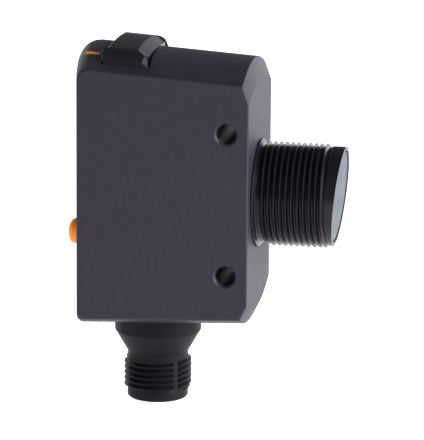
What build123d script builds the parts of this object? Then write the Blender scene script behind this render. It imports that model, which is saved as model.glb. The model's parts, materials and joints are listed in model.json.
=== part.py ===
from build123d import *
import os
from math import atan2, cos, degrees, hypot, radians, sin, tan

# Photoelectric sensor with an M18 light nozzle and an M12 connector, in millimetres.
# +X is the light's direction, +Z is up, away from the connector. Everything is drawn from the centre
# of the flat front face, on the nozzle's axis. The last lines move it so that the origin is on that
# axis, midway between the two mounting bores.

# ---------------------------------------------------------------- driving dimensions
FIT_GAP = 0.05
FAR = 200.0

BODY_WIDTH = 23.0
BODY_DEPTH = 29.4
FRONT_TOP_Z = 17.4
FRONT_BOTTOM_Z = -17.2
TOP_CHAMFER_DEPTH = 1.1
TOP_CHAMFER_HEIGHT = 3.2
BOTTOM_CHAMFER_DEPTH = 1.25
BOTTOM_CHAMFER_HEIGHT = 2.55
TOP_TAPER = 1.8
BOTTOM_TAPER = 1.3
CROWN = 2.6
REAR_CROWN = 1.3
REAR_TOP_ROUND = 2.0
REAR_BOTTOM_ROUND = 1.0
EDGE_ROUND = 0.3

SIDE_WALL = 2.0
END_WALL = 3.0
FRONT_WALL = 1.8
COVER_LAND = 1.0
COVER_THICKNESS = 2.2
COVER_SEAL_WIDTH = 0.7
COVER_SEAL_DEPTH = 0.8
COVER_SEAL_GAP = 0.02

HOLE_RADIUS = 1.7
HOLE_RIM = 0.35
HOLE_SPACING = 24.5
HOLE_FROM_FRONT = 3.8
BOSS_WALL = 1.2

THREAD_PITCH = 1.0
THREAD_DEPTH = 0.6
THREAD_LAND = 0.14
THREAD_ANGLE = 60.0

NOZZLE_CREST_RADIUS = 8.9
NOZZLE_CRESTS = 11
NOZZLE_FIRST_CREST = 1.8
NOZZLE_LENGTH = 14.0
NOZZLE_COLLAR = 0.4
NOZZLE_SPIGOT_STEP = 0.3
NOZZLE_BAND_STEP = 0.4
NOZZLE_BAND_RELIEF = 0.65
NOZZLE_INNER_LENGTH = 1.2
FACE_TILT = 5.3
WINDOW_RIM = 0.7
WINDOW_THICKNESS = 1.2
WINDOW_SET_BACK = 0.15
WINDOW_SEAL = 0.7
WINDOW_SEAT = 0.9

CARRIER_SET_BACK = 3.4
CARRIER_REAR = -2.4
LENS_WEB = 0.8
LENS_WALL = 0.6
LENS_LEDGE = 0.4
LENS_EDGE = 0.8
LENS_RISE = 0.9

LED_STRIP_LENGTH = 8.4
LED_STRIP_FRONT = 17.3
LED_STRIP_HALF_WIDTH = 9.6
LED_STRIP_PROUD = 1.3
LED_STRIP_BEVEL = 1.25
LED_STRIP_LEAN = 18.0
LED_STRIP_END_DRAFT = 0.5
LED_SHOULDER_RADIUS = 2.4
LIGHT_SHAFT_LENGTH = 5.0
LIGHT_SHAFT_WIDTH = 10.0
LIGHT_SHAFT_DEPTH = 4.0
LIGHT_GUIDE_DEPTH = 3.2
LIGHT_GUIDE_GAP = 0.3

CONNECTOR_X = -17.5
CONNECTOR_CREST_RADIUS = 5.85
CONNECTOR_CRESTS = 6
CONNECTOR_SEAT_DROP = 4.4
CONNECTOR_FLOOR = 3.0
CONNECTOR_FLANGE = 3.3
CONNECTOR_CONE = 3.9
CONNECTOR_RELIEF = 1.4
CONNECTOR_LENGTH = 15.4
CONNECTOR_END_CHAMFER = 0.3
CONNECTOR_WALL = 1.0
CONNECTOR_BARREL_STEP = 1.0
CONNECTOR_FLANGE_STEP = 1.25
CONNECTOR_SOCKET_DEPTH = 8.5
CONNECTOR_FLAT_WIDTH = 1.3
CONNECTOR_FLAT_ANGLE = -42.0
CONNECTOR_FLAT_LENGTH = 7.8
CONNECTOR_SEAL = 0.5
CONNECTOR_SEAL_INSET = 0.4
CONNECTOR_SEAL_WIDTH = 0.6
LOCK_RING_HEIGHT = 1.3
LOCK_RING_WIDTH = 1.05
LOCK_RING_LAND = 0.6
PIN_RADIUS = 0.5
PIN_CIRCLE_RADIUS = 2.8
PIN_TIP_RECESS = 1.2
PIN_COUNT = 4
TERMINAL_BOARD = 1.0
TERMINAL_BOARD_RADIUS = 5.6
TERMINAL_LIFT = 2.0

BUTTON_Z = -8.4
BUTTON_RADIUS = 2.2
BUTTON_PROUD = 2.6
BUTTON_DOME = 1.0
BUTTON_TRAVEL = 0.5
BUTTON_FLANGE_STEP = 0.8
BUTTON_FLANGE = 0.8
RUNNING_GAP = 0.06
TOUCH_GAP = 0.05
STEM_RADIUS = 1.2
STEM_LENGTH = 0.8
MEMBRANE = 0.3
MEMBRANE_FOOT = 1.0
MEMBRANE_FOOT_HEIGHT = 0.5
MEMBRANE_GAP = 0.02
SWITCH_SIZE = 4.6
SWITCH_DEPTH = 2.5
PLUNGER_RADIUS = 0.9
PLUNGER_PROUD = 0.75
PLUNGER_GUIDE = 1.0

BOARD = 1.2
BOARD_FRONT_X = -8.2
BOARD_TOP_GAP = 0.6
OPTICS_BOARD = 1.0
OPTICS_BOARD_X = -6.7
OPTICS_BOARD_WIDTH = 12.0
OPTICS_BOARD_HEIGHT = 17.0
LINK_WIDTH = 2.6
LINK_HEIGHT = 12.0
EMITTER_SIZE = 3.2
EMITTER_HEIGHT = 0.9
EMITTER_DOME = 0.8
EMITTER_DOME_RADIUS = 1.2
RECEIVER_WIDTH = 4.0
RECEIVER_TALL = 3.0
RECEIVER_HEIGHT = 1.1
LAMP_SIZE = 1.6
LAMP_WIDTH = 1.2
LAMP_HEIGHT = 0.9
LAMP_SPACING = 3.0
CAN_WALL = 0.25
CAN_HEIGHT = 3.0
CAN_LENGTH = 6.0
CAN_TALL = 8.0
CAN_X = -12.0
CAN_Z = -9.0

MARK_LENGTH = 2.4
MARK_WIDTH = 0.9
MARK_DEPTH = 0.3
MARK_FROM_REAR = 0.5
MARK_OFFSET = 6.2
PLATE_HEIGHT = 5.0
PLATE_WIDTH = 9.0
PLATE_THICKNESS = 0.4
PLATE_PROUD = 0.15
PLATE_BELOW_BUTTON = 0.4

# Chips: centre x, centre z, length, height, thickness, and which face of the board (+1 is +Y).
CHIPS = [
    (-15.0, 1.0, 6.0, 6.0, 1.4, 1),
    (-18.2, 9.0, 3.5, 3.0, 1.1, 1),
    (-11.5, 10.2, 3.0, 4.5, 1.1, -1),
    (-17.0, -8.0, 4.0, 4.0, 1.6, -1),
    (-11.4, -1.8, 2.4, 2.5, 0.9, -1),
]

# ---------------------------------------------------------------- sizes worked out from them
half_width = BODY_WIDTH / 2
top_front = (-TOP_CHAMFER_DEPTH, FRONT_TOP_Z + TOP_CHAMFER_HEIGHT)
top_rear = (-BODY_DEPTH, top_front[1] + TOP_TAPER)
bottom_front = (-BOTTOM_CHAMFER_DEPTH, FRONT_BOTTOM_Z - BOTTOM_CHAMFER_HEIGHT)
bottom_rear = (-BODY_DEPTH, bottom_front[1] - BOTTOM_TAPER)
rear_x = -BODY_DEPTH - REAR_CROWN
cover_inner_x = -BODY_DEPTH + COVER_THICKNESS
end_land = END_WALL - COVER_LAND
side_land = SIDE_WALL - COVER_LAND
boss_radius = HOLE_RADIUS + BOSS_WALL
hole_heights = (HOLE_SPACING / 2, -HOLE_SPACING / 2)

nozzle_root = NOZZLE_CREST_RADIUS - THREAD_DEPTH
nozzle_spigot = NOZZLE_CREST_RADIUS + NOZZLE_SPIGOT_STEP
nozzle_band = NOZZLE_CREST_RADIUS - NOZZLE_BAND_STEP
window_radius = nozzle_band - WINDOW_RIM
window_back = WINDOW_SET_BACK + WINDOW_THICKNESS
nozzle_bore = window_radius - WINDOW_SEAT
carrier_radius = nozzle_bore - FIT_GAP
carrier_front = NOZZLE_LENGTH - CARRIER_SET_BACK
lens_seat = (carrier_radius - LENS_WALL - LENS_WEB / 2) / 2
lens_radius = lens_seat - FIT_GAP
light_path_offset = LENS_WEB / 2 + lens_seat

connector_root = CONNECTOR_CREST_RADIUS - THREAD_DEPTH
connector_socket = connector_root - CONNECTOR_WALL
connector_barrel = connector_root + CONNECTOR_BARREL_STEP
connector_flange = connector_barrel + CONNECTOR_FLANGE_STEP
lock_ring_radius = connector_barrel + LOCK_RING_WIDTH
connector_seat_z = FRONT_BOTTOM_Z - CONNECTOR_SEAT_DROP
inner_seat_z = connector_seat_z + CONNECTOR_FLOOR
barrel_top_z = inner_seat_z + LOCK_RING_HEIGHT
flange_end_z = connector_seat_z - CONNECTOR_FLANGE
cone_end_z = flange_end_z - CONNECTOR_CONE
connector_end_z = connector_seat_z - CONNECTOR_LENGTH
terminal_top_z = barrel_top_z + TERMINAL_LIFT

button_flange_radius = BUTTON_RADIUS + BUTTON_FLANGE_STEP
flange_x = cover_inner_x + TOUCH_GAP
flange_back_x = flange_x + BUTTON_FLANGE
switch_face_x = flange_back_x + STEM_LENGTH + TOUCH_GAP + PLUNGER_PROUD
board_rear_x = switch_face_x + SWITCH_DEPTH
board_top_z = FRONT_TOP_Z - BOARD_TOP_GAP
optics_face_x = OPTICS_BOARD_X + OPTICS_BOARD

# The indicator strip sits in a frame on the sloping top edge, with x along the edge.
strip_x = -LED_STRIP_FRONT - LED_STRIP_LENGTH / 2
strip_share = (top_front[0] - strip_x) / (top_front[0] - top_rear[0])
strip_edge_z = top_front[1] + TOP_TAPER * strip_share
top_angle = degrees(atan2(TOP_TAPER, top_front[0] - top_rear[0]))
strip_frame = Location((strip_x, 0, strip_edge_z), (0, top_angle, 0))
lean_rate = tan(radians(LED_STRIP_LEAN))
strip_floor = CROWN * (1 - (LED_STRIP_HALF_WIDTH / half_width) ** 2)
strip_top = CROWN + LED_STRIP_PROUD

face_direction = (cos(radians(FACE_TILT)), 0, -sin(radians(FACE_TILT)))
tilted_face = Plane(origin=(NOZZLE_LENGTH, 0, 0), z_dir=face_direction)


# ---------------------------------------------------------------- helpers
def rod(x0, x1, radius, z=0.0):
    """A cylinder along X from x0 to x1."""
    plane = Plane(origin=((x0 + x1) / 2, 0, z), z_dir=(1, 0, 0))
    return plane * Cylinder(radius, abs(x1 - x0))


def cross_rod(length, radius, z):
    """A cylinder across the body, on a mounting bore's axis."""
    return Pos(-HOLE_FROM_FRONT, 0, z) * Rot(90, 0, 0) * Cylinder(radius, length)


def post(z0, z1, radius, x=CONNECTOR_X, y=0.0):
    """A cylinder along Z from z0 to z1, on the connector's axis unless x and y are given."""
    return Pos(x, y, (z0 + z1) / 2) * Cylinder(radius, abs(z1 - z0))


def block(x0, x1, y0, y1, z0, z1):
    """A box between two corners."""
    centre = Pos((x0 + x1) / 2, (y0 + y1) / 2, (z0 + z1) / 2)
    return centre * Box(abs(x1 - x0), abs(y1 - y0), abs(z1 - z0))


def centred_block(x0, x1, width, height, z=0.0):
    """A box at mid-width from x0 to x1."""
    return block(x0, x1, -width / 2, width / 2, z - height / 2, z + height / 2)


def turned(points, axis):
    """A solid of revolution about X or Z from points (x, z), with x or z as the radius."""
    outline = make_face(Polyline(*[(x, 0, z) for x, z in points], close=True))
    return revolve(outline, axis)


def crowned_limit(start, end, rise, inset):
    """A large cylinder whose skin runs along a side edge of the body and bulges by rise at mid-width.

    Going from start to end, the body lies on the right of the edge.
    """
    radius = (half_width**2 + rise**2) / (2 * rise)
    run = hypot(end[0] - start[0], end[1] - start[1])
    along = ((end[0] - start[0]) / run, (end[1] - start[1]) / run)
    inward = (along[1], -along[0])
    reach = radius - rise + inset
    middle = ((start[0] + end[0]) / 2 + inward[0] * reach, (start[1] + end[1]) / 2 + inward[1] * reach)
    plane = Plane(origin=(middle[0], 0, middle[1]), z_dir=(along[0], 0, along[1]))
    return plane * Cylinder(radius, FAR)


def body_block(side=0.0, ends=0.0, front=0.0, rear=0.0):
    """The crowned body, shrunk by a wall on its sides, top and bottom, front and rear."""
    shape = block(-FAR, -front, side - half_width, half_width - side, -FAR / 2, FAR / 2)
    shape = shape & crowned_limit(top_rear, top_front, CROWN, ends)
    shape = shape & crowned_limit(bottom_front, bottom_rear, CROWN, ends)
    shape = shape & crowned_limit(bottom_rear, top_rear, REAR_CROWN, rear)
    top_share = TOP_CHAMFER_DEPTH / hypot(TOP_CHAMFER_DEPTH, TOP_CHAMFER_HEIGHT)
    bottom_share = BOTTOM_CHAMFER_DEPTH / hypot(BOTTOM_CHAMFER_DEPTH, BOTTOM_CHAMFER_HEIGHT)
    shape = shape & crowned_limit(top_front, (0, FRONT_TOP_Z), CROWN * top_share, front)
    return shape & crowned_limit((0, FRONT_BOTTOM_Z), bottom_front, CROWN * bottom_share, front)


def cross_edges(shape):
    """The long edges that run across the body."""
    return [e for e in shape.edges() if abs(e.center().Y) < FIT_GAP and e.length > half_width]


def rounded_body():
    """The whole outer body with its rear edges and its front upright edges rounded."""
    shape = body_block()
    rear_top = max(cross_edges(shape), key=lambda e: e.center().Z - e.center().X)
    shape = fillet(rear_top, REAR_TOP_ROUND)
    rear_bottom = min(cross_edges(shape), key=lambda e: e.center().Z + e.center().X)
    shape = fillet(rear_bottom, REAR_BOTTOM_ROUND)
    on_face = [e for e in shape.edges() if abs(e.center().X) < FIT_GAP]
    return fillet([e for e in on_face if abs(e.center().Y) > half_width - FIT_GAP], EDGE_ROUND)


def rear_slab():
    """Everything behind the inner face of the rear cover."""
    return block(-FAR, cover_inner_x, -FAR, FAR, -FAR, FAR)


def thread_outline(first, count, crest, root):
    """Points (along, radius) of a row of thread crests with flat lands."""
    points = []
    flank = (crest - root) * tan(radians(THREAD_ANGLE / 2))
    for index in range(count):
        middle = first + index * THREAD_PITCH
        points.append((middle - THREAD_LAND / 2 - flank, root))
        points.append((middle - THREAD_LAND / 2, crest))
        points.append((middle + THREAD_LAND / 2, crest))
        points.append((middle + THREAD_LAND / 2 + flank, root))
    return points


def tilted_disc(back, thickness, radius):
    """A disc parallel to the nozzle's slanted end, whose outer face is back behind that end."""
    return tilted_face * Pos(0, 0, -back - thickness / 2) * Cylinder(radius, thickness)


def strip_block(length, half, floor, ceiling):
    """A bar across the body whose ends lean to the rear, as the indicator strip does."""
    points = [(-length / 2, floor), (length / 2, floor), (length / 2, ceiling), (-length / 2, ceiling)]
    outline = [(x - (z - strip_floor) * lean_rate, 0, z) for x, z in points]
    face = make_face(Polyline(*outline, close=True))
    return strip_frame * extrude(face, amount=half, dir=(0, 1, 0), both=True)


def strip_profile():
    """The indicator strip's rounded section across the body, drawn along X as a long bar."""
    half = LED_STRIP_HALF_WIDTH - FIT_GAP
    upper_half = half - LED_STRIP_END_DRAFT
    shoulder = strip_top - LED_STRIP_PROUD / 2
    line = Polyline((0, -half, strip_floor), (0, -upper_half, shoulder))
    arc = ThreePointArc(line @ 1, (0, 0, strip_top), (0, upper_half, shoulder))
    end = Polyline(arc @ 1, (0, half, strip_floor), (0, -half, strip_floor))
    bar = extrude(make_face([line, arc, end]), amount=BODY_DEPTH, dir=(1, 0, 0), both=True)
    along = [e for e in bar.edges() if e.length > BODY_DEPTH]
    corners = [e for e in along if abs(e.center().Z - shoulder) < FIT_GAP]
    return strip_frame * fillet(corners, LED_SHOULDER_RADIUS)


# ---------------------------------------------------------------- housing and covers
def mounting_bore(z):
    """Cutting tool for one through bore with a small chamfer at each side face."""
    tool = cross_rod(BODY_WIDTH, HOLE_RADIUS, z)
    for side in (1, -1):
        rim = Pos(-HOLE_FROM_FRONT, side * (half_width - HOLE_RIM / 2), z)
        tool = tool + rim * Rot(-90 * side, 0, 0) * Cone(HOLE_RADIUS, HOLE_RADIUS + HOLE_RIM, HOLE_RIM)
    return tool


def housing():
    """One-piece moulded shell, open at the rear, with two through bores and the strip's notch."""
    shape = rounded_body() - body_block(SIDE_WALL, END_WALL, FRONT_WALL, -FAR / 4)
    shape = shape - (body_block(side_land, end_land, FRONT_WALL, -FAR / 4) & rear_slab())
    for z in hole_heights:
        boss = cross_rod(BODY_WIDTH - 2 * side_land, boss_radius, z)
        shape = shape + (boss & body_block(side_land, end_land, FRONT_WALL / 2, 0))
    seat = post(inner_seat_z, bottom_rear[1], lock_ring_radius + LOCK_RING_LAND)
    shape = shape + (seat & body_block(side_land, end_land, FRONT_WALL, 0))
    for z in hole_heights:
        shape = shape - mounting_bore(z)
    shape = shape - rod(-2 * FRONT_WALL, FRONT_WALL, nozzle_spigot + FIT_GAP)
    shape = shape - post(inner_seat_z, connector_end_z, connector_barrel + FIT_GAP)
    shape = shape - post(connector_seat_z, connector_end_z, connector_flange + FIT_GAP)
    shape = shape - strip_block(LED_STRIP_LENGTH, LED_STRIP_HALF_WIDTH, strip_floor, 2 * strip_top)
    shape = shape - strip_block(LIGHT_SHAFT_LENGTH, LIGHT_SHAFT_WIDTH / 2, -LIGHT_SHAFT_DEPTH, strip_top)
    return shape - index_mark()


def index_mark():
    """A plain inlaid bar on the rear of the top, level with the crown."""
    x0 = -BODY_DEPTH + MARK_FROM_REAR
    edge = MARK_WIDTH / 2
    bar = block(x0, x0 + MARK_LENGTH, -MARK_OFFSET - edge, -MARK_OFFSET + edge, 0, FAR / 4)
    core = body_block(MARK_DEPTH, MARK_DEPTH, MARK_DEPTH, MARK_DEPTH + REAR_BOTTOM_ROUND)
    return bar & (rounded_body() - core)


def cover_seal_ring(gap):
    """The ring round the cover's inner edge, shrunk by gap on its free sides."""
    outer = body_block(side_land + FIT_GAP + gap, end_land + FIT_GAP + gap, FRONT_WALL, 0)
    width = COVER_SEAL_WIDTH - gap
    inner = body_block(side_land + width, end_land + width, FRONT_WALL, -1)
    ring = outer - inner
    return ring & block(cover_inner_x - COVER_SEAL_DEPTH + gap, cover_inner_x, -FAR, FAR, -FAR, FAR)


def cover_seal():
    """A cord of sealant in the cover's groove."""
    return cover_seal_ring(COVER_SEAL_GAP)


def rear_cover():
    """Crowned plate let into the rear of the housing, with the button's guide."""
    shape = body_block(side_land + FIT_GAP, end_land + FIT_GAP, FRONT_WALL, 0) & rear_slab()
    shape = shape - cover_seal_ring(0)
    shape = shape - rod(2 * rear_x, 0, BUTTON_RADIUS + RUNNING_GAP, BUTTON_Z)
    return shape - rear_plate()


def rear_plate():
    """A blank type plate on the rear cover, below the button."""
    top = BUTTON_Z - BUTTON_RADIUS - PLATE_BELOW_BUTTON
    x0 = rear_x - PLATE_PROUD
    return centred_block(x0, x0 + PLATE_THICKNESS, PLATE_WIDTH, PLATE_HEIGHT, top - PLATE_HEIGHT / 2)


# ---------------------------------------------------------------- indicator strip
def led_window():
    """Smoked strip across the top, with bevelled ends and a rounded section."""
    length = LED_STRIP_LENGTH - 2 * FIT_GAP
    shape = strip_profile() & strip_block(length, half_width, strip_floor, 2 * strip_top)
    for side in (1, -1):
        top_x = side * length / 2 - (strip_top - strip_floor) * lean_rate
        corner = Location((top_x, 0, strip_top), (0, 45, 0))
        wedge = Box(LED_STRIP_BEVEL * 2**0.5, BODY_WIDTH, LED_STRIP_BEVEL * 2**0.5)
        shape = shape - strip_frame * corner * wedge
    return shape


def light_guide():
    """Clear block that leads the lamps' light from the board up to the strip."""
    length = LIGHT_SHAFT_LENGTH - 2 * LIGHT_GUIDE_GAP
    return strip_block(length, LIGHT_SHAFT_WIDTH / 2 - LIGHT_GUIDE_GAP, -LIGHT_GUIDE_DEPTH, strip_floor)


# ---------------------------------------------------------------- nozzle and optics
def threaded_nozzle():
    """M18 tube with a collar that fills the bore in the front wall, a fine thread and a slanted end."""
    inner_x = -FRONT_WALL - NOZZLE_INNER_LENGTH
    points = [(inner_x, nozzle_bore), (inner_x, nozzle_spigot), (NOZZLE_COLLAR, nozzle_spigot)]
    points += [(NOZZLE_COLLAR, nozzle_root)]
    points += thread_outline(NOZZLE_FIRST_CREST, NOZZLE_CRESTS, NOZZLE_CREST_RADIUS, nozzle_root)
    last_crest = NOZZLE_FIRST_CREST + (NOZZLE_CRESTS - 1) * THREAD_PITCH
    band_x = last_crest + NOZZLE_BAND_RELIEF
    points += [(band_x, nozzle_root), (band_x, nozzle_band)]
    points += [(2 * NOZZLE_LENGTH, nozzle_band), (2 * NOZZLE_LENGTH, nozzle_bore)]
    shape = turned(points, Axis.X)
    shape = shape - tilted_face * Pos(0, 0, FAR / 2) * Cylinder(FAR, FAR)
    return shape - tilted_disc(-1, window_back + WINDOW_SEAL + 1, window_radius + FIT_GAP)


def front_window():
    """Flat clear disc set in the nozzle's slanted end."""
    return tilted_disc(WINDOW_SET_BACK, WINDOW_THICKNESS, window_radius)


def window_seal():
    """Flat ring that the front window seats on."""
    hole = tilted_disc(0, NOZZLE_LENGTH, nozzle_bore)
    return tilted_disc(window_back, WINDOW_SEAL, window_radius) - hole


def optics_carrier():
    """Black barrel in the nozzle with one light path for sending and one for receiving."""
    shape = rod(CARRIER_REAR, carrier_front, carrier_radius)
    for z in (light_path_offset, -light_path_offset):
        shape = shape - rod(2 * CARRIER_REAR, NOZZLE_LENGTH, lens_radius - LENS_LEDGE, z)
        shape = shape - rod(carrier_front - LENS_EDGE, NOZZLE_LENGTH, lens_seat, z)
    return shape


def path_lens(z):
    """Plano-convex lens seated in the front of a light path."""
    back = carrier_front - LENS_EDGE
    ball_radius = (lens_radius**2 + LENS_RISE**2) / (2 * LENS_RISE)
    ball_x = carrier_front + LENS_RISE - ball_radius
    half = lens_radius / 2
    dome_point = (ball_x + (ball_radius**2 - half**2) ** 0.5, half, 0)
    rim = Polyline((carrier_front, lens_radius, 0), (back, lens_radius, 0), (back, 0, 0))
    axis = Line((back, 0, 0), (carrier_front + LENS_RISE, 0, 0))
    dome = ThreePointArc(axis @ 1, dome_point, (carrier_front, lens_radius, 0))
    return Pos(0, 0, z) * revolve(make_face([rim, axis, dome]), Axis.X)


def emitter_lens():
    """Lens in front of the emitter."""
    return path_lens(-light_path_offset)


def receiver_lens():
    """Lens in front of the receiver."""
    return path_lens(light_path_offset)


def emitter():
    """Lamp package that sends the light, on the optics board."""
    top_x = optics_face_x + EMITTER_HEIGHT
    base = centred_block(optics_face_x, top_x, EMITTER_SIZE, EMITTER_SIZE, -light_path_offset)
    return base + rod(top_x, top_x + EMITTER_DOME, EMITTER_DOME_RADIUS, -light_path_offset)


def receiver():
    """Light-sensitive chip package, on the optics board."""
    top_x = optics_face_x + RECEIVER_HEIGHT
    return centred_block(optics_face_x, top_x, RECEIVER_WIDTH, RECEIVER_TALL, light_path_offset)


# ---------------------------------------------------------------- boards
def optics_board():
    """Upright board behind the nozzle."""
    return centred_block(OPTICS_BOARD_X, optics_face_x, OPTICS_BOARD_WIDTH, OPTICS_BOARD_HEIGHT)


def main_board():
    """Upright board at mid-width that carries the electronics."""
    return block(board_rear_x, BOARD_FRONT_X, -BOARD / 2, BOARD / 2, terminal_top_z, board_top_z)


def terminal_board():
    """Round board that the connector's contacts are soldered to."""
    return post(terminal_top_z - TERMINAL_BOARD, terminal_top_z, TERMINAL_BOARD_RADIUS) - contact_pins()


def board_link():
    """Header that joins the optics board to the main board."""
    return centred_block(BOARD_FRONT_X, OPTICS_BOARD_X, LINK_WIDTH, LINK_HEIGHT)


def board_chips():
    """Packages soldered to both faces of the main board."""
    chips = []
    for x, z, length, height, thickness, face in CHIPS:
        y = face * (BOARD + thickness) / 2
        chips.append(Pos(x, y, z) * Box(length, thickness, height))
    return Compound(chips)


def status_lamps():
    """Small lamps on the main board's top edge, under the light guide."""
    lamps = []
    for x in (strip_x - LAMP_SPACING / 2, strip_x + LAMP_SPACING / 2):
        lamps.append(Pos(x, 0, board_top_z + LAMP_HEIGHT / 2) * Box(LAMP_SIZE, LAMP_WIDTH, LAMP_HEIGHT))
    return Compound(lamps)


def shield_can():
    """Folded metal cap over the receiver's amplifier, open towards the board."""
    outer = Pos(CAN_X, (BOARD + CAN_HEIGHT) / 2, CAN_Z) * Box(CAN_LENGTH, CAN_HEIGHT, CAN_TALL)
    hollow = Box(CAN_LENGTH - 2 * CAN_WALL, CAN_HEIGHT, CAN_TALL - 2 * CAN_WALL)
    return outer - Pos(CAN_X, (BOARD + CAN_HEIGHT) / 2 - CAN_WALL, CAN_Z) * hollow


# ---------------------------------------------------------------- teach button
def teach_button():
    """Domed push button with a stop flange and a stem that meets the switch."""
    tip = rear_x - BUTTON_PROUD
    shape = rod(tip, flange_back_x, BUTTON_RADIUS, BUTTON_Z)
    rim = [e for e in shape.edges() if abs(e.center().X - tip) < FIT_GAP]
    shape = fillet(rim, BUTTON_DOME)
    shape = shape + rod(flange_x, flange_back_x, button_flange_radius, BUTTON_Z)
    return shape + rod(flange_back_x, flange_back_x + STEM_LENGTH, STEM_RADIUS, BUTTON_Z)


def button_membrane():
    """Rubber skirt between the rear cover and the button's flange, which seals and returns it."""
    front = flange_back_x + MEMBRANE_GAP
    back = front + MEMBRANE
    skirt = button_flange_radius + MEMBRANE
    foot = skirt + MEMBRANE_FOOT
    hole = STEM_RADIUS + MEMBRANE_GAP
    points = [(cover_inner_x, skirt), (cover_inner_x, foot), (cover_inner_x + MEMBRANE_FOOT_HEIGHT, foot)]
    points += [(back, skirt + MEMBRANE), (back, hole), (front, hole), (front, skirt)]
    return Pos(0, 0, BUTTON_Z) * turned(points, Axis.X)


def switch_body():
    """Push switch on the rear edge of the main board."""
    shape = centred_block(switch_face_x, board_rear_x, SWITCH_SIZE, SWITCH_SIZE, BUTTON_Z)
    bottom = switch_face_x + PLUNGER_GUIDE + BUTTON_TRAVEL + TOUCH_GAP
    return shape - rod(switch_face_x - 1, bottom, PLUNGER_RADIUS + RUNNING_GAP, BUTTON_Z)


def switch_plunger():
    """The switch's own plunger, which the button's stem presses."""
    return rod(switch_face_x - PLUNGER_PROUD, switch_face_x + PLUNGER_GUIDE, PLUNGER_RADIUS, BUTTON_Z)


# ---------------------------------------------------------------- connector
def connector_seal():
    """Flat sealing ring let into the top of the connector's flange."""
    bottom = connector_seat_z - CONNECTOR_SEAL
    outer = connector_flange - CONNECTOR_SEAL_INSET
    ring = post(bottom, connector_seat_z, outer)
    return ring - post(bottom - 1, connector_seat_z + 1, outer - CONNECTOR_SEAL_WIDTH)


def connector_shell():
    """Flanged M12 shell: barrel through the housing, cone, thread and open socket."""
    points = [(connector_socket, barrel_top_z), (connector_barrel, barrel_top_z)]
    points += [(connector_barrel, connector_seat_z), (connector_flange, connector_seat_z)]
    points += [(connector_flange, flange_end_z), (connector_root, cone_end_z)]
    first = -cone_end_z + CONNECTOR_RELIEF
    rows = thread_outline(first, CONNECTOR_CRESTS, CONNECTOR_CREST_RADIUS, connector_root)
    points += [(radius, -along) for along, radius in rows]
    chamfer = CONNECTOR_END_CHAMFER
    points += [(connector_root, connector_end_z + chamfer), (connector_root - chamfer, connector_end_z)]
    points += [(connector_socket, connector_end_z)]
    shape = Pos(CONNECTOR_X, 0, 0) * turned(points, Axis.Z)
    half = CONNECTOR_FLAT_WIDTH / 2
    flat_top_z = connector_end_z + CONNECTOR_FLAT_LENGTH
    flat = block(connector_root, connector_flange, -half, half, connector_end_z - 1, flat_top_z)
    return shape - connector_seal() - Pos(CONNECTOR_X, 0, 0) * Rot(0, 0, CONNECTOR_FLAT_ANGLE) * flat


def lock_ring():
    """Ring on the barrel, inside the housing, that holds the connector."""
    hole = post(inner_seat_z - 1, barrel_top_z + 1, connector_barrel + FIT_GAP)
    return post(inner_seat_z, barrel_top_z, lock_ring_radius) - hole


def contact_pins():
    """Round contacts that run from the socket to the terminal board."""
    pins = []
    for index in range(PIN_COUNT):
        angle = radians(360 * (index + 0.5) / PIN_COUNT)
        x = CONNECTOR_X + PIN_CIRCLE_RADIUS * cos(angle)
        y = PIN_CIRCLE_RADIUS * sin(angle)
        pins.append(post(connector_end_z + PIN_TIP_RECESS, terminal_top_z, PIN_RADIUS, x, y))
    return Compound(pins)


def contact_carrier():
    """Insulating block that holds the contacts in the shell."""
    bottom = connector_end_z + CONNECTOR_SOCKET_DEPTH
    return post(bottom, barrel_top_z, connector_socket) - contact_pins()


NODES = [
    housing,
    rear_cover,
    cover_seal,
    rear_plate,
    index_mark,
    led_window,
    light_guide,
    threaded_nozzle,
    front_window,
    window_seal,
    optics_carrier,
    emitter_lens,
    receiver_lens,
    emitter,
    receiver,
    optics_board,
    main_board,
    terminal_board,
    board_link,
    board_chips,
    status_lamps,
    shield_can,
    teach_button,
    button_membrane,
    switch_body,
    switch_plunger,
    connector_shell,
    connector_seal,
    lock_ring,
    contact_carrier,
    contact_pins,
]

os.makedirs("parts", exist_ok=True)
for make in NODES:
    export_step(Pos(HOLE_FROM_FRONT, 0, 0) * make(), f"parts/{make.__name__}.step")
    print(make.__name__)
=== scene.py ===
import json
import math

import bmesh
import bpy
from bpy.props import FloatProperty, FloatVectorProperty, IntProperty, PointerProperty
from mathutils import Matrix, Vector


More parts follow.
